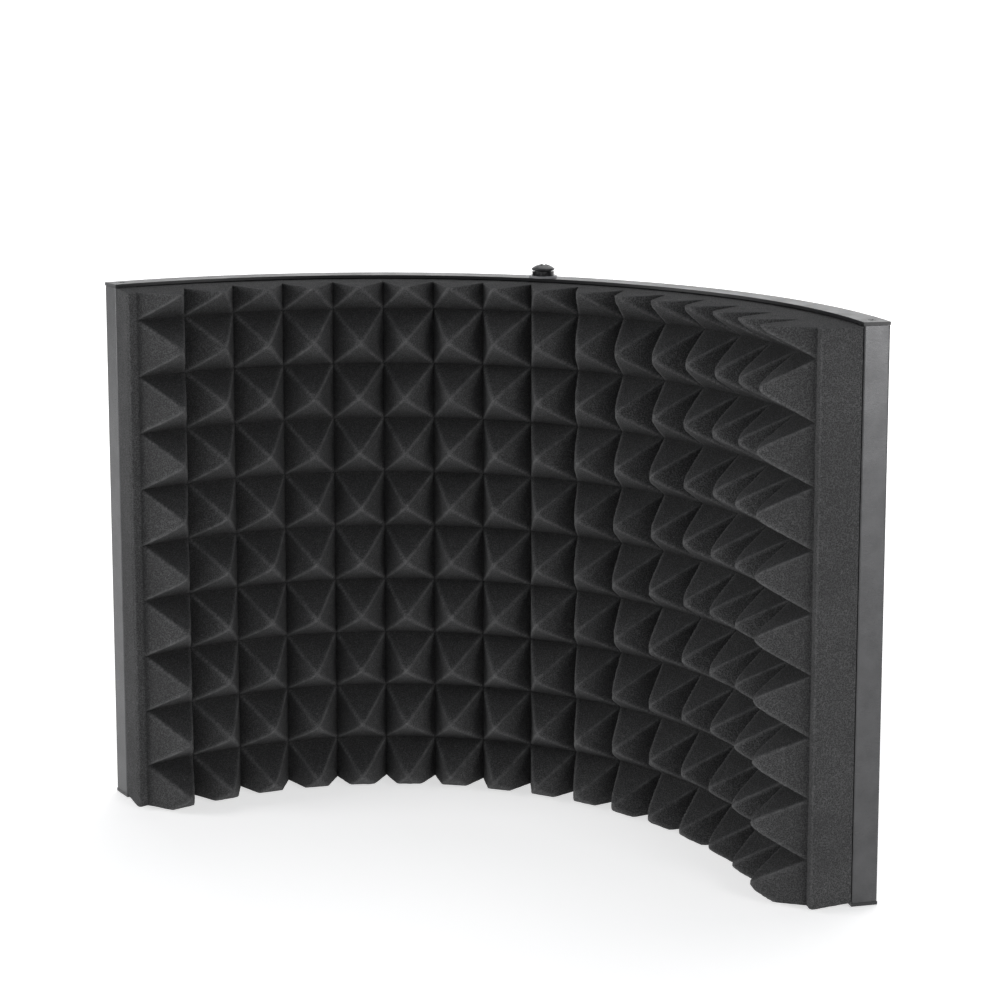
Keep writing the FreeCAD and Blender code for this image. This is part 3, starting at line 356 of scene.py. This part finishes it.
def make_foam():
    centre, back, spread = foam_plan()
    valley = back - FOAM_BASE
    columns = round(2 * spread * back / PITCH)
    turn = 2 * spread / columns
    low = RIM + FOAM_GAP
    high = HEIGHT - low
    fine = PITCH / STEP_COUNT
    rng = np.random.default_rng(11)

    # along the arc, counted in pyramids from the left end, with the margins past the end valleys
    share = np.arange(0, columns * STEP_COUNT + 1) / STEP_COUNT
    margin = END_MARGIN / (valley * turn)
    ends = np.linspace(-margin, 0, 6)[:-1]
    along = np.concatenate([ends, share, columns + (-ends)[::-1]])
    first = math.ceil((low - FIRST_VALLEY) / fine)
    last = math.floor((high - FIRST_VALLEY) / fine)
    level = np.concatenate([[low], FIRST_VALLEY + fine * np.arange(first, last + 1), [high]])
    level = level[np.concatenate([[True], np.diff(level) > 2e-4])]
    level[-1] = high

    u, z = np.meshgrid(along, level)
    column = np.clip(np.floor(u), 0, columns - 1)
    row = np.floor((z - FIRST_VALLEY) / PITCH)
    across = u - column
    upward = (z - FIRST_VALLEY) / PITCH - row
    grown = rng.normal(0, 0.018, (12, columns))
    lean = rng.normal(0, 0.010, (2, 12, columns))
    pick = (np.clip(row + 1, 0, 11).astype(int), column.astype(int))
    inside = (u >= 0) & (u <= columns)
    middle_u = 0.5 + lean[0][pick]
    middle_v = 0.5 + lean[1][pick]
    rise_u = np.where(across < middle_u, across / middle_u, (1 - across) / (1 - middle_u))
    rise_v = np.where(upward < middle_v, upward / middle_v, (1 - upward) / (1 - middle_v))
    rise_u = np.where(inside, np.clip(rise_u, 0, 1), 0)
    rise_v = np.clip(rise_v, 0, 1)
    soft = 0.018                                     # how rounded ridges and valleys are
    height = 0.5 * (rise_u + rise_v - np.sqrt((rise_u - rise_v) ** 2 + soft ** 2)) + soft / 2
    height = np.where(inside, height, 0)
    blunt = 0.15                                     # how blunt each tip is
    top = 0.88
    height = 0.5 * (height + top - np.sqrt((height - top) ** 2 + blunt ** 2))
    height = height + 0.5 * (np.sqrt(top ** 2 + blunt ** 2) - top)
    height = 0.5 * (height + np.sqrt(height ** 2 + 0.02 ** 2)) - 0.01
    height = height * (1 + grown[pick]) * TIP

    # plan position: each pyramid stands on a flat facet of the bent sheet
    angle0 = -spread + turn * column
    angle1 = angle0 + turn
    left = np.stack([np.sin(angle0), np.cos(angle0)], -1) * valley
    right = np.stack([np.sin(angle1), np.cos(angle1)], -1) * valley
    facet = left + (right - left) * across[..., None]
    normal = np.stack([-np.sin(angle0 + turn / 2), -np.cos(angle0 + turn / 2)], -1)
    arc = -spread + turn * u
    beyond = np.stack([np.sin(arc), np.cos(arc)], -1) * valley
    base = np.where(inside[..., None], facet, beyond)
    plan = base + normal * height[..., None]
    front = np.concatenate([plan, z[..., None]], -1)
    front[..., 1] += centre

    rear_angle = np.clip(arc, -spread, spread)
    rear = np.stack([np.sin(rear_angle) * back, np.cos(rear_angle) * back + centre, z], -1)
    # past the rail's inner edge the sheet's rear lies flat against the rail
    reach = np.hypot(rear[..., 0], rear[..., 1])[..., None]
    on_rail = (np.abs(np.arctan2(rear[..., 0], rear[..., 1])) > HALF - math.asin(0.0135 / OUTER))[..., None]
    settled = np.where(on_rail, INNER - 0.0003, np.maximum(reach, INNER + 0.0010))
    rear[..., :2] *= settled / reach
    deep = 18
    shares = np.linspace(0, 1, deep + 1)[1:-1]
    end_left = front[:, :1] + (rear[:, :1] - front[:, :1]) * shares[None, :, None]
    end_right = front[:, -1:] + (rear[:, -1:] - front[:, -1:]) * shares[None, :, None]

    # closed loop at each level: front left to right, right end backwards, rear right to left,
    # left end forwards
    loop = np.concatenate([front, end_right, rear[:, ::-1], end_left[:, ::-1]], 1)
    rows, round_count = loop.shape[:2]
    n = front.shape[1]

    # round the creases where the end faces meet the front
    weight = np.zeros(round_count)
    for corner in (0, n - 1):
        gap = np.abs((np.arange(round_count) - corner + round_count // 2) % round_count - round_count // 2)
        weight = np.maximum(weight, np.clip(1 - gap / 4.0, 0, 1))
    for _ in range(6):
        near = (np.roll(loop, 1, 1) + np.roll(loop, -1, 1)) / 2
        loop = loop + (near - loop) * weight[None, :, None] * 0.5

    # uneven skin: slow waves and a coarse torn grain, on the front and the end faces only
    seen = np.ones(round_count)
    seen[n + deep - 2: 2 * n + deep + 1] = 0
    flat = loop.reshape(-1, 3)
    slow = lumps(flat, 22, 1).reshape(rows, round_count)
    grain = lumps(flat, 330, 2).reshape(rows, round_count)
    d_round = np.roll(loop, -1, 1) - np.roll(loop, 1, 1)
    d_up = np.gradient(loop, axis=0)
    normals = np.cross(d_round, d_up)
    normals /= np.maximum(np.linalg.norm(normals, axis=-1, keepdims=True), 1e-9)
    push = (slow * 0.0005 + grain * 0.00028) * seen[None, :]
    loop = loop + normals * push[..., None]
    loop[..., 2] = np.clip(loop[..., 2], low, high)
    loop[0, :, 2] = low
    loop[-1, :, 2] = high

    # where the painted highlight goes: along the pyramids' ridges and tips, at the end creases and along the
    # cut top and bottom
    pale = np.zeros((rows, round_count))
    ridge_width = 0.0011
    pale[:, :n] = (np.exp(-((rise_u - rise_v) * PITCH / 2 / ridge_width) ** 2)
                   * np.clip(height / 0.004, 0, 1) * inside)
    pale[:, [0, n - 1]] = 0.45
    pale[[0, -1], :n] = 0.5
    points = [loop.reshape(-1, 3)]
    index = np.arange(rows * round_count).reshape(rows, round_count)
    a, b = index[:-1], index[1:]
    walls = np.stack([a, np.roll(a, -1, 1), np.roll(b, -1, 1), b], -1).reshape(-1, 4)
    quads = [walls]
    # the cut top and bottom: strips from each front point to the rear point behind it
    count = rows * round_count
    for ring, up in ((loop[-1], True), (loop[0], False)):
        ring_index = index[-1] if up else index[0]
        front_ids = ring_index[:n]
        rear_ids = ring_index[n + deep - 1: n + deep - 1 + n][::-1]
        right_ids = ring_index[n:n + deep - 1]
        left_ids = ring_index[2 * n + deep - 1:][::-1]
        front_row = ring[:n]
        rear_row = ring[n + deep - 1: n + deep - 1 + n][::-1]
        inner = front_row[None] + (rear_row - front_row)[None] * shares[:, None, None]
        inner = inner[:, 1:-1]
        rough = lumps(inner.reshape(-1, 3), 260, 3).reshape(inner.shape[:2])
        inner[..., 2] += np.where(up, -1, 1) * (0.00022 * (1 + rough))
        points.append(inner.reshape(-1, 3))
        ids = count + np.arange(inner.shape[0] * inner.shape[1]).reshape(inner.shape[:2])
        count += ids.size
        grid = np.empty((deep + 1, n), int)
        grid[0] = front_ids
        grid[-1] = rear_ids
        grid[1:-1, 1:-1] = ids
        grid[1:-1, -1] = right_ids
        grid[1:-1, 0] = left_ids
        g = np.stack([grid[:-1, :-1], grid[1:, :-1], grid[1:, 1:], grid[:-1, 1:]], -1).reshape(-1, 4)
        quads.append(g[:, ::-1] if up else g)
    points = np.concatenate(points)
    points[:, 1] += ARC_Y
    # the groove for the centre post: the sheet's rear gives way in front of it
    beside = np.abs(points[:, 0]) < 0.0075
    limit = ARC_Y + PANEL_INNER - 0.0002 - 0.009 - FOAM_GAP
    points[:, 1] = np.where(beside & (points[:, 1] > limit), limit, points[:, 1])
    obj = make_mesh("foam_sheet", points, np.concatenate(quads), FOAM, 48)
    shade = np.zeros(len(points), np.float32)
    shade[:pale.size] = pale.ravel()
    obj.data.attributes.new("ridge_highlight", "FLOAT", "POINT").data.foreach_set("value", shade)
    # each point's height, which sets the painted shade in the valleys
    tall = np.full(len(points), 0.8, np.float32)
    field = np.full((rows, round_count), 0.8)
    field[:, :n] = np.where(inside, height / TIP, 0.8)
    tall[:field.size] = field.ravel()
    obj.data.attributes.new("peak", "FLOAT", "POINT").data.foreach_set("value", tall)
    return obj


foam = make_foam()
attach(foam, "shield")
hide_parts("acoustic_foam")


# ------------------------------------------------------------- perforated panel
def make_panel():
    """A rolled steel sheet with staggered round holes, solid along its edges and at the bar's spacers."""
    pitch = 0.0075
    rise = pitch * math.sqrt(3) / 2
    hole = 0.0025
    side = HALF - math.asin(0.002 / OUTER)
    low = RIM + 0.0002
    high = HEIGHT - low
    rows = int((high - low - 0.024) / rise)
    columns = int((2 * side * PANEL_OUTER - 0.012) / pitch)
    start_z = MIDDLE_Z - rows * rise / 2
    start_s = -columns * pitch / 2
    spacer_levels = (MIDDLE_Z - 0.097, MIDDLE_Z + 0.097)
    points, lookup, quads = [], {}, []

    def lattice(i, j):
        """Shared point on the grid of quarter pitches by half rises."""
        if (i, j) not in lookup:
            lookup[i, j] = len(points)
            points.append((start_s + i * pitch / 4, start_z + j * rise / 2))
        return lookup[i, j]

    square = [(0, 0), (1, 0), (2, 0), (3, 0), (4, 0), (4, 1), (4, 2), (3, 2), (2, 2), (1, 2), (0, 2), (0, 1)]
    walls = []
    for j in range(rows):
        shift = 2 * (j % 2)
        for i in range(columns - (j % 2)):
            left = 4 * i + shift
            edge = [lattice(left + a, 2 * j + b) for a, b in square]
            middle = (start_s + (left + 2) * pitch / 4, start_z + (j + 0.5) * rise)
            solid = any(math.hypot(middle[0], middle[1] - level) < 0.0095 for level in spacer_levels)
            size = hole * (0.02 if solid else 1)
            first = len(points)
            for a, b in square:
                aim = math.atan2((b - 1) * rise / 2, (a - 2) * pitch / 4)
                points.append((middle[0] + size * math.cos(aim), middle[1] + size * math.sin(aim)))
            for k in range(12):
                m = (k + 1) % 12
                quads.append((edge[k], edge[m], first + m, first + k))
                walls.append((first + k, first + m))
        if j % 2:
            for left in (0, 4 * columns - 2):
                for a in (0, 1):
                    for b in (0, 1):
                        x, y = left + a, 2 * j + b
                        quads.append((lattice(x, y), lattice(x + 1, y),
                                      lattice(x + 1, y + 1), lattice(x, y + 1)))
    # plain margins round the holes
    wide, tall = 4 * columns, 2 * rows
    bottom_ids, top_ids = [], []
    for i in range(wide + 1):
        for ids, z in ((bottom_ids, low), (top_ids, high)):
            ids.append(len(points))
            points.append((start_s + i * pitch / 4, z))
    left_ids, right_ids = [], []
    for j in range(tall + 1):
        for ids, s in ((left_ids, -side * PANEL_OUTER), (right_ids, side * PANEL_OUTER)):
            ids.append(len(points))
            points.append((s, start_z + j * rise / 2))
    corners = {}
    for s in (-1, 1):
        for z in (low, high):
            corners[s, z] = len(points)
            points.append((s * side * PANEL_OUTER, z))
    for i in range(wide):
        quads.append((bottom_ids[i], bottom_ids[i + 1], lattice(i + 1, 0), lattice(i, 0)))
        quads.append((lattice(i, tall), lattice(i + 1, tall), top_ids[i + 1], top_ids[i]))
    for j in range(tall):
        quads.append((left_ids[j], lattice(0, j), lattice(0, j + 1), left_ids[j + 1]))
        quads.append((lattice(wide, j), right_ids[j], right_ids[j + 1], lattice(wide, j + 1)))
    quads.append((corners[-1, low], bottom_ids[0], lattice(0, 0), left_ids[0]))
    quads.append((bottom_ids[-1], corners[1, low], right_ids[0], lattice(wide, 0)))
    quads.append((left_ids[-1], lattice(0, tall), top_ids[0], corners[-1, high]))
    quads.append((lattice(wide, tall), right_ids[-1], corners[1, high], top_ids[-1]))
    rim_loop = ([corners[-1, low]] + bottom_ids + [corners[1, low]] + right_ids + [corners[1, high]]
                + top_ids[::-1] + [corners[-1, high]] + left_ids[::-1])

    flat = np.array(points)
    angle = flat[:, 0] / PANEL_OUTER
    count = len(flat)

    def skin(radius):
        return np.stack([np.sin(angle) * radius, np.cos(angle) * radius + ARC_Y, flat[:, 1]], -1)

    face = np.array(quads)
    pairs = np.array(walls + [(b, a) for a, b in zip(rim_loop, rim_loop[1:] + rim_loop[:1])])
    sides = np.stack([pairs[:, 0], pairs[:, 1], pairs[:, 1] + count, pairs[:, 0] + count], -1)
    every = np.concatenate([face[:, ::-1], face + count, sides])
    return make_mesh("perforated_panel", np.concatenate([skin(PANEL_OUTER), skin(PANEL_INNER)]),
                     every, PANEL, 35)


panel = make_panel()
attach(panel, "shield")
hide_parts("back_panel")


# --------------------------------------------------------------- studio and light
def stage_floor():
    """A pale floor that curves up into a pale wall far behind."""
    profile = [(-3.0, 0.0)] + [(2.2 + 0.9 * math.sin(a), 0.9 - 0.9 * math.cos(a))
                               for a in np.linspace(0, math.pi / 2, 14)] + [(3.1, 4.0)]
    points = [(x, y, z - 0.0005) for y, z in profile for x in (-5.0, 5.0)]
    quads = [(2 * i, 2 * i + 1, 2 * i + 3, 2 * i + 2) for i in range(len(profile) - 1)]
    look = Mat("pale_floor", (0.80, 0.80, 0.80), 0.9)
    look.color(look.blend(look.span(look.noise(3, 3), 0.3, 0.7, 0, 1), (0.79, 0.79, 0.79),
                          (0.82, 0.82, 0.82)))
    look.set("Emission Color", (1, 1, 1, 1)).set("Emission Strength", 0.62)
    obj = make_mesh("floor", points, quads, look)
    return obj


stage_floor()


def area_light(name, place, target, size, power, tint=(1, 1, 1)):
    data = bpy.data.lights.new(name, "AREA")
    data.shape = "RECTANGLE"
    data.size, data.size_y = size
    data.energy = power
    data.color = tint
    obj = bpy.data.objects.new(name, data)
    obj.location = place
    aim = Vector(target) - Vector(place)
    obj.rotation_euler = aim.to_track_quat("-Z", "Y").to_euler()
    bpy.context.scene.collection.objects.link(obj)
    return obj


area_light("side_left", (-1.8, -1.15, 0.62), (0, -0.12, 0.15), (0.8, 1.2), 22)
area_light("side_right", (1.8, -1.15, 0.62), (0, -0.12, 0.15), (0.8, 1.2), 14)
area_light("overhead", (0, 1.2, 2.6), (0, 0.6, 0), (2.4, 1.6), 24)
area_light("wall", (0, 0.9, 2.2), (0, 3.0, 1.0), (3.5, 1.0), 26)

world = bpy.data.worlds.new("studio")
world.use_nodes = True
world.node_tree.nodes["Background"].inputs["Color"].default_value = (0.9, 0.93, 1.0, 1)
world.node_tree.nodes["Background"].inputs["Strength"].default_value = 0.16
bpy.context.scene.world = world
bpy.context.scene.view_settings.view_transform = "Standard"

# ------------------------------------------------------------------------- camera
camera = bpy.data.cameras.new("camera")
camera.sensor_width = 36.0
camera.lens = 75.77
camera.shift_y = -0.20
camera.clip_start = 0.05
camera.clip_end = 30.0
eye = bpy.data.objects.new("camera", camera)
eye.location = (0.4441, -1.2136, 0.4721)
YAW, PITCH_DOWN = math.radians(21.28), math.radians(7.336)
eye.rotation_euler = (math.pi / 2 - PITCH_DOWN, 0, YAW)
bpy.context.scene.collection.objects.link(eye)
bpy.context.scene.camera = eye
